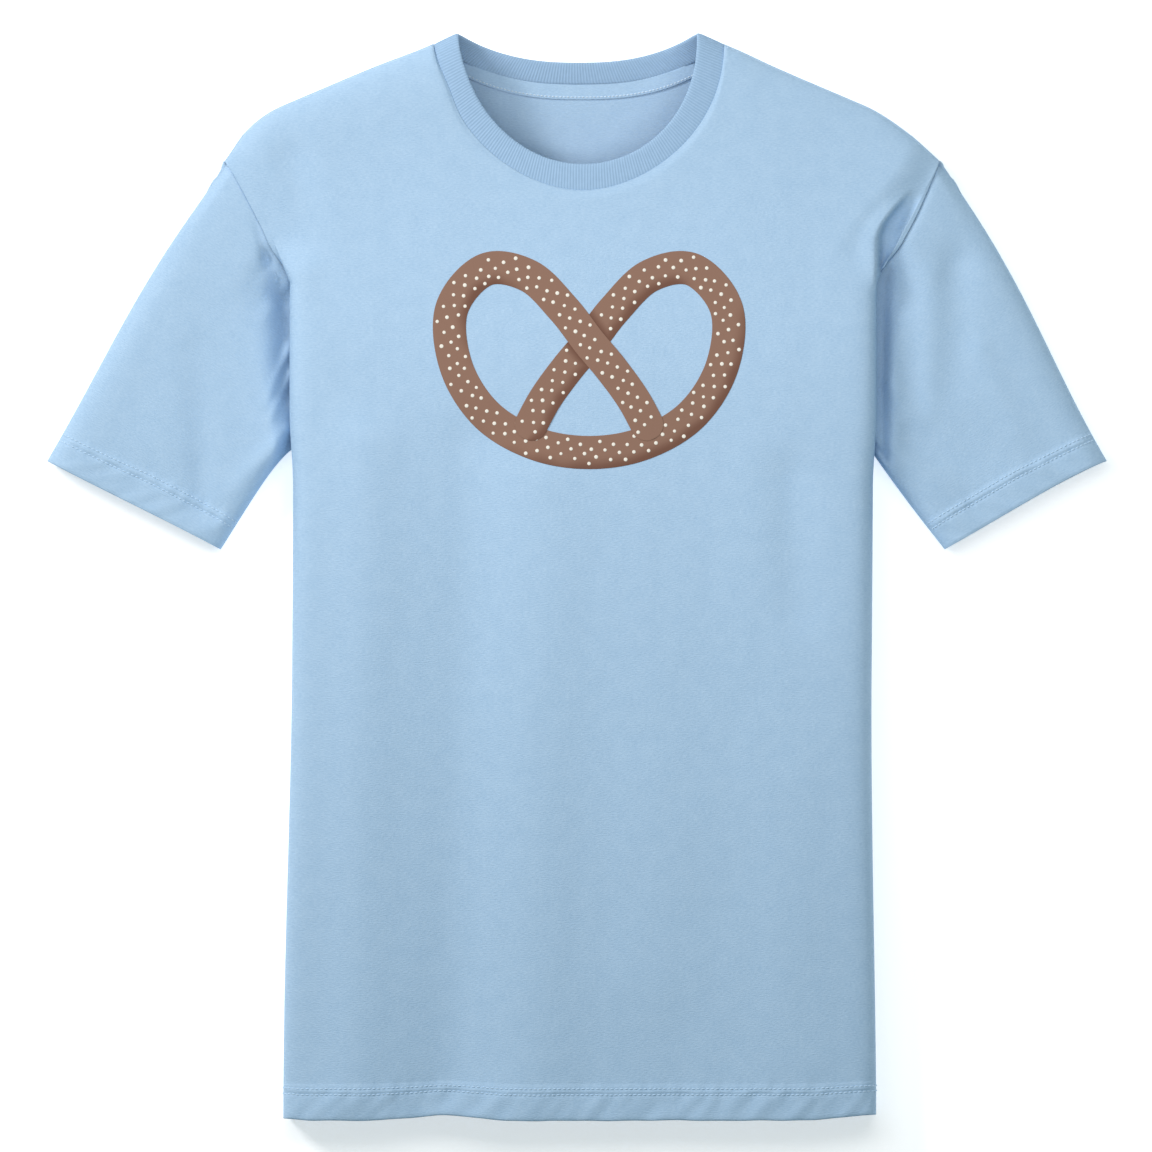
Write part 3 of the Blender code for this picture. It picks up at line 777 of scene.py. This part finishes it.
def print_material():
    """Soft ink on cotton: brown, with the darker brown that the artwork paints on the rope's lower right side."""
    material = plain_material("pretzel_ink", "8f6e5c", 0.8)
    tree = material.node_tree
    shader = tree.nodes["Principled BSDF"]
    shade = node(tree, "ShaderNodeAttribute", {"attribute_name": "painted_shade"})
    place = node(tree, "ShaderNodeUVMap", {"uv_map": "cloth"}).outputs["UV"]
    flecks = node(tree, "ShaderNodeTexNoise", Vector=place, Scale=700.0, Detail=2.0)
    tint = node(tree, "ShaderNodeMix", {"data_type": "RGBA"}, n0=shade.outputs["Fac"])
    tint.inputs[6].default_value = colour("93705f")
    tint.inputs[7].default_value = colour("6f4a3b")
    tree.links.new(tint.outputs[2], shader.inputs["Base Color"])
    bump = node(tree, "ShaderNodeBump", Height=flecks.outputs["Fac"], Strength=0.3, Distance=0.0002)
    tree.links.new(bump.outputs["Normal"], shader.inputs["Normal"])
    return material


def as_piece(name, mesh, material, cad_node):
    mesh.materials.append(material)
    mesh.shade_smooth()
    piece = bpy.data.objects.new(name, mesh)
    bpy.context.scene.collection.objects.link(piece)
    if cad_node:
        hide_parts(cad_node)
    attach(piece, "root")
    return piece


def lay_out(bm, weave):
    """Writes the UV map, in metres along the cloth's own directions."""
    layer = bm.loops.layers.uv.new("cloth")
    for face in bm.faces:
        for loop in face.loops:
            loop[layer].uv = weave(loop.vert.co)


def level(co):
    return co.x, co.y


def panel(name, columns, rows, place, thick, inward, material, cad_node, weave=level, closed=False):
    """A grid laid out by place(u, v), closed into a tube if asked, and given the thickness of its cloth."""
    bm = bmesh.new()
    bmesh.ops.create_grid(bm, x_segments=columns, y_segments=rows, size=0.5)
    for vert in bm.verts:
        vert.co = place(vert.co.x + 0.5, vert.co.y + 0.5)
    if closed:
        bmesh.ops.remove_doubles(bm, verts=bm.verts, dist=0.00002)
    lay_out(bm, weave)
    mesh = bpy.data.meshes.new(name)
    bm.to_mesh(mesh)
    area = sum(face.calc_area() for face in bm.faces)
    bm.free()
    piece = as_piece(name, mesh, material, cad_node)
    shell = piece.modifiers.new("cloth", "SOLIDIFY")
    shell.thickness = thick
    shell.offset = inward
    print(f"{name}: one layer {area:.4f} square metres")
    return piece


def collar_band(material):
    """The ribbed band, a ring of flat sections with a ridge for each rib."""
    per_rib, section = 4, 14
    angles = collar_turns(RIB_COUNT * per_rib)
    bm = bmesh.new()
    # Painted light for the rib's material: 1 on each rib's back, 0 down in the groove, which is painted in shade
    painted_light_layer = bm.verts.layers.float.new("rib_painted_light")
    rings = []
    for index, angle in enumerate(angles):
        ridge = math.cos(index * 2.0 * math.pi / per_rib)
        ring = [bm.verts.new(collar_place(angle, k / section, ridge)) for k in range(section)]
        for vert in ring:
            vert[painted_light_layer] = 0.5 + 0.5 * ridge
        rings.append(ring)
    for index, ring in enumerate(rings):
        following = rings[(index + 1) % len(rings)]
        for k in range(section):
            around = (k + 1) % section
            bm.faces.new((ring[k], following[k], following[around], ring[around]))
    bmesh.ops.recalc_face_normals(bm, faces=bm.faces)
    lay_out(bm, level)
    mesh = bpy.data.meshes.new("collar_rib")
    bm.to_mesh(mesh)
    bm.free()
    return as_piece("collar_rib", mesh, material, "collar")


def add_stitch(bm, start, end, up):
    """One stitch of thread: a short rope, thick in the middle, whose ends go down into the cloth."""
    ahead = end - start
    aside = ahead.cross(up).normalized()
    rings = []
    for s, swell, rise in ((0.0, 0.35, -0.5), (0.2, 0.9, 0.4), (0.5, 1.0, 0.7), (0.8, 0.9, 0.4), (1.0, 0.35, -0.5)):
        centre = start + ahead * s + up * (THREAD * rise)
        ring = []
        for k in range(6):
            turn = k * math.pi / 3.0
            ring.append(bm.verts.new(centre + (aside * math.cos(turn) + up * math.sin(turn)) * (THREAD * swell)))
        rings.append(ring)
    for ring, following in zip(rings, rings[1:]):
        for k in range(6):
            bm.faces.new((ring[k], ring[(k + 1) % 6], following[(k + 1) % 6], following[k]))
    bm.faces.new(rings[0])
    bm.faces.new(rings[-1])


def stitch_rows(name, paths, material, pitch=STITCH_PITCH, length=STITCH):
    """Rows of stitches along paths, each a list of (point, outward direction)."""
    bm = bmesh.new()
    for path in paths:
        lengths = [0.0]
        for (a, _), (b, _) in zip(path, path[1:]):
            lengths.append(lengths[-1] + (b - a).length)
        index = 0
        position = pitch * 0.5
        while position + length < lengths[-1]:
            ends = []
            for goal in (position, position + length):
                while lengths[index + 1] < goal:
                    index += 1
                part = (goal - lengths[index]) / (lengths[index + 1] - lengths[index])
                ends.append(path[index][0].lerp(path[index + 1][0], part))
            add_stitch(bm, ends[0], ends[1], path[index][1])
            position += pitch
    bmesh.ops.recalc_face_normals(bm, faces=bm.faces)
    lay_out(bm, level)
    mesh = bpy.data.meshes.new(name)
    bm.to_mesh(mesh)
    bm.free()
    return as_piece(name, mesh, material, None)


def outward(place, u, v, flip):
    """The direction out of the cloth at a point of a laid-out surface."""
    du = place(u + 0.002, v) - place(u - 0.002, v)
    dv = place(u, v + 0.002) - place(u, v - 0.002)
    return du.cross(dv).normalized() * flip


def body_hem_path(surface, from_hem, flip):
    v = from_hem / (ROLL_TOP_Y + HALF_LENGTH)
    path = []
    for step in range(401):
        u = -0.985 + 1.97 * step / 400
        spot = surface(u, v)
        path.append((spot, outward(surface, u, v, flip)))
    return path


def sleeve_hem_path(side, from_hem):
    def surface(u, w):
        return sleeve_surface(u, w, side)

    path = []
    for step in range(241):
        u = 0.012 + 0.476 * step / 240
        v = 1.0 - from_hem / sleeve_length(sleeve_turn(u * 2.0))
        path.append((surface(u, v), outward(surface, u, v, side)))
    return path


def pretzel_line():
    """The rope's centreline as evenly close points of a smooth curve through PRINT_LINE and its mirror image."""
    knots = [Vector(p) for p in PRINT_LINE]
    knots += [Vector((-p.x, p.y)) for p in reversed(knots[:-1])]
    line = []
    for i in range(len(knots) - 1):
        a = knots[max(0, i - 1)]
        b, c = knots[i], knots[i + 1]
        d = knots[min(len(knots) - 1, i + 2)]
        for step in range(24):
            t = step / 24.0
            line.append(0.5 * ((2.0 * b) + (c - a) * t + (2.0 * a - 5.0 * b + 4.0 * c - d) * t * t
                               + (3.0 * b - a - 3.0 * c + d) * t * t * t))
    line.append(knots[-1])
    return [p * PRINT_SCALE + PRINT_CENTRE for p in line]


def cloth_top(x, y):
    """Height of the front's outer face inside its rolled edges."""
    across = x - shift(x, y)
    return front_z(across, y, 1.0, 0.0) + fold_height(x, y, BODY_FOLDS) + limp(x, y)


def print_layer(index, count):
    """Which strand of the rope lies on top where two of them meet: 0 below, 1 above."""
    share = index / (count - 1)
    ends = max(1.0 - smooth(share, 0.030, 0.060), smooth(share, 0.940, 0.970))
    second_pass = smooth(share, 0.820, 0.845) * (1.0 - smooth(share, 0.905, 0.930))
    return max(ends, second_pass)


def second_strand(line):
    """The part of the line that passes over the rope's first strand."""
    start, end = SECOND_STRAND
    return line[int(len(line) * start):int(len(line) * end)]


def pretzel_print(ink):
    """The printed rope, a thin film that follows the cloth."""
    line = pretzel_line()
    count = len(line)
    lengths = [0.0]
    for a, b in zip(line, line[1:]):
        lengths.append(lengths[-1] + (b - a).length)
    second = second_strand(line)
    sides = 16
    bm = bmesh.new()
    shade_layer = bm.verts.layers.float.new("painted_shade")
    rows = []
    for index, centre in enumerate(line):
        ahead = (line[min(count - 1, index + 1)] - line[max(0, index - 1)]).normalized()
        aside = Vector((-ahead.y, ahead.x))
        from_end = min(lengths[index], lengths[-1] - lengths[index])
        short = max(0.0, 1.0 - from_end / PRINT_HALF_WIDTH)
        half = PRINT_HALF_WIDTH * math.sqrt(max(0.0004, 1.0 - short * short))
        lift = PRINT_LIFT + STRAND_LIFT * print_layer(index, count)
        row = []
        for k in range(sides + 1):
            c = math.sin((k / sides - 0.5) * math.pi)
            spot = centre + aside * (c * half)
            vert = bm.verts.new((spot.x, spot.y, cloth_top(spot.x, spot.y) + lift))
            lit = (aside * c).dot(Vector((0.62, -0.78))) + 0.15 * noise.noise(Vector((index / 9.0, 0.0, 0.0)))
            vert[shade_layer] = 0.85 * smooth(lit, 0.15, 0.85)
            if index < count * 0.3:
                clear = min((spot - other).length for other in second)
                vert[shade_layer] = max(vert[shade_layer], 0.9 * (1.0 - smooth(clear, 0.010, 0.0175)))
            row.append(vert)
        rows.append(row)
    for row, following in zip(rows, rows[1:]):
        for k in range(sides):
            bm.faces.new((row[k], following[k], following[k + 1], row[k + 1]))
    bmesh.ops.recalc_face_normals(bm, faces=bm.faces)
    if sum(face.normal.z for face in bm.faces) < 0.0:
        bmesh.ops.reverse_faces(bm, faces=bm.faces)
    lay_out(bm, level)
    mesh = bpy.data.meshes.new("pretzel_print")
    bm.to_mesh(mesh)
    bm.free()
    piece = as_piece("pretzel_print", mesh, ink, None)
    film = piece.modifiers.new("film", "SOLIDIFY")
    film.thickness = 0.00015
    film.offset = -1.0
    return piece, line, lengths


def salt_dots(line, lengths, ink):
    """Cream dots of ink strewn over the rope, each a low disc."""
    bm = bmesh.new()
    count = len(line)
    second = second_strand(line)
    index = 0
    for number in range(DOT_COUNT):
        goal = lengths[-1] * (number + 0.5) / DOT_COUNT
        while lengths[index + 1] < goal:
            index += 1
        across = ((number * GOLDEN_RATIO) % 1.0 - 0.5) * 1.5
        across += 0.12 * noise.noise(Vector((number * 1.7, 0.5, 0.5)))
        ahead = (line[index + 1] - line[index]).normalized()
        aside = Vector((-ahead.y, ahead.x))
        spot = line[index] + aside * (across * PRINT_HALF_WIDTH)
        from_end = min(goal, lengths[-1] - goal)
        if from_end < 0.005:
            continue
        layer = print_layer(index, count)
        if index < count * 0.3 and layer < 0.5 and min((spot - p).length for p in second) < 0.013:
            continue
        lift = PRINT_LIFT + STRAND_LIFT * layer
        size = DOT_RADIUS * (1.0 + 0.18 * noise.noise(Vector((number * 3.3, 1.5, 0.5))))
        rings = []
        for reach, rise in ((1.0, -0.0001), (0.96, 0.00012), (0.6, 0.00022)):
            ring = []
            for k in range(10):
                turn = k * math.pi / 5.0
                x = spot.x + math.cos(turn) * size * reach
                y = spot.y + math.sin(turn) * size * reach
                ring.append(bm.verts.new((x, y, cloth_top(x, y) + lift + rise)))
            rings.append(ring)
        for ring, following in zip(rings, rings[1:]):
            for k in range(10):
                bm.faces.new((ring[k], ring[(k + 1) % 10], following[(k + 1) % 10], following[k]))
        bm.faces.new(rings[-1])
        bm.faces.new(list(reversed(rings[0])))
    lay_out(bm, level)
    mesh = bpy.data.meshes.new("salt_dots")
    bm.to_mesh(mesh)
    bm.free()
    return as_piece("salt_dots", mesh, ink, None)


def light(name, place, aim, width, height, power, code):
    lamp = bpy.data.lights.new(name, "AREA")
    lamp.shape = "RECTANGLE"
    lamp.size = width
    lamp.size_y = height
    lamp.energy = power
    lamp.color = colour(code)[:3]
    holder = bpy.data.objects.new(name, lamp)
    holder.location = place
    holder.rotation_euler = (Vector(aim) - Vector(place)).to_track_quat("-Z", "Y").to_euler()
    bpy.context.scene.collection.objects.link(holder)


def floor():
    bpy.ops.object.select_all(action="DESELECT")
    bpy.ops.mesh.primitive_plane_add(size=6.0)
    plane = bpy.context.active_object
    plane.name = "floor"
    material = plain_material("white_paper", "fbfbfb", 0.9)
    shader = material.node_tree.nodes["Principled BSDF"]
    shader.inputs["Emission Color"].default_value = colour("ffffff")
    shader.inputs["Emission Strength"].default_value = FLOOR_GLOW
    plane.data.materials.append(material)


def studio():
    """Soft light from the upper left that fades towards the lower right, over a pale floor."""
    scene = bpy.context.scene
    scene.view_settings.view_transform = "Standard"
    world = bpy.data.worlds.new("studio")
    world.use_nodes = True
    sky = world.node_tree.nodes["Background"]
    sky.inputs["Color"].default_value = colour(SKY)
    sky.inputs["Strength"].default_value = SKY_STRENGTH
    scene.world = world
    light("overhead", (0.02, 0.24, 0.95), (0.0, 0.08, 0.0), 1.1, 0.45, OVERHEAD_POWER, LAMP)
    light("upper_left", (-2.60, 2.00, 2.10), (0.0, 0.0, 0.0), 1.0, 1.0, UPPER_LEFT_POWER, LAMP)
    floor()

    camera = bpy.data.cameras.new("camera")
    camera.sensor_width = 36.0
    camera.lens = CAMERA_LENS
    camera.clip_end = 20.0
    holder = bpy.data.objects.new("camera", camera)
    holder.location = CAMERA_PLACE
    scene.collection.objects.link(holder)
    scene.camera = holder


def sleeve_weave(side):
    """Directions of a sleeve's cloth: along its hem and down its length."""
    along = (SLEEVE_TOP - SLEEVE_UNDER).normalized()

    def weave(co):
        x = side * co.x
        return along.x * x + along.y * co.y, along.x * co.y - along.y * x

    return weave


def main():
    jersey = knit_material("cotton_jersey", "b9d4ed", "aac8e4", 400.0, 1300.0, 0.00034)
    tape_cloth = knit_material("tape_jersey", "bdd9f2", "aecce8", 400.0, 1300.0, 0.00034)
    rib = rib_material()
    thread = plain_material("sewing_thread", "c6def3", 0.7)
    # A paler copy of the sewing thread for the tape's stitches: a painted highlight, where their beads catch the
    # light
    tape_thread_painted_highlight = plain_material("sewing_thread_painted_highlight", "dfeefa", 0.7)
    brown = print_material()
    cream = plain_material("salt_ink", "f6efe2", 0.7)

    body_columns = 2 * (INNER_COLUMNS + ROLL_COLUMNS + RIM_COLUMNS)
    front = panel("front_panel", body_columns, 172, lambda u, v: front_surface(u * 2.0 - 1.0, row_share(v)),
                  JERSEY_THICK, -1.0, jersey, "body_front")
    back = panel("back_panel", 116, 90, lambda u, v: back_surface(u * 2.0 - 1.0, v),
                 JERSEY_THICK, 1.0, jersey, "body_back")
    for name, side in (("left", -1.0), ("right", 1.0)):
        panel(
            "sleeve_" + name + "_cloth", 150, 110, lambda u, v, k=side: sleeve_surface(u, sleeve_row_share(v), k),
            JERSEY_THICK, -side, jersey, "sleeve_" + name, weave=sleeve_weave(side), closed=True,
        )
    collar = collar_band(rib)
    tape = panel("neck_tape_cloth", 80, 12, tape_place, TAPE_THICK, -1.0, tape_cloth, "neck_tape")

    front_rows = [body_hem_path(front_surface, row, 1.0) for row in HEM_ROWS]
    front_stitches = stitch_rows("front_hem_stitches", front_rows, thread)
    for name, side in (("left", -1.0), ("right", 1.0)):
        paths = [sleeve_hem_path(side, row) for row in SLEEVE_HEM_ROWS]
        stitch_rows("sleeve_" + name + "_stitches", paths, thread)
    tape_path = [(tape_place(k / 160.0, TAPE_ROW), Vector((0.0, 0.0, 1.0))) for k in range(161)]
    # The tape's stitches, in the thread with the painted highlight
    tape_stitches = stitch_rows("tape_stitches", [tape_path], tape_thread_painted_highlight, TAPE_PITCH, TAPE_STITCH)

    pretzel, line, lengths = pretzel_print(brown)
    dots = salt_dots(line, lengths, cream)

    studio()


main()
